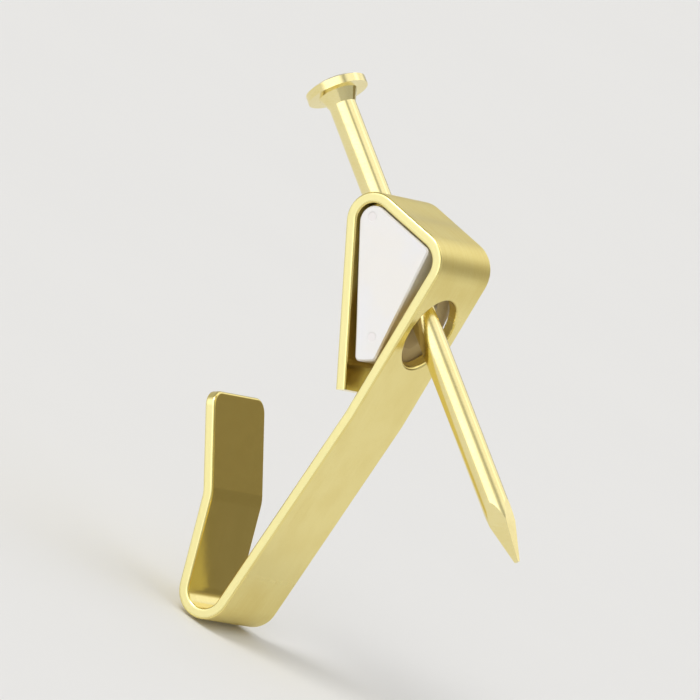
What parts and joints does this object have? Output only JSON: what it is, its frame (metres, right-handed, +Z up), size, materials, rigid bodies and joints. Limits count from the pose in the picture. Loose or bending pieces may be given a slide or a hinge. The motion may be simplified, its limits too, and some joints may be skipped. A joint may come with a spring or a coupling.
{
  "type": "picture hook",
  "caption": "Folded metal strip hook for hanging a picture, with a plastic wedge in its loop and a slanted nail that slides through both.",
  "frame": {"origin": "where the nail's axis crosses the plane of the wall", "axes": "+X across the strip, +Y into the wall, +Z up"},
  "size_m": [0.0074, 0.0334, 0.0385],
  "materials": {
    "plated_strip": "bright plated",
    "white_plastic": "satin moulded",
    "plated_nail": "bright plated"
  },
  "bodies": {
    "hook": {"hook_strip": "plated_strip", "nail_insert": "white_plastic"},
    "nail": {"nail": "plated_nail"}
  },
  "joints": [
    {"name": "nail_drive", "type": "slide", "parent": "hook", "child": "nail", "axis": [0, 0.848, -0.5299], "range_m": [-0.016, 0.0083]}
  ]
}
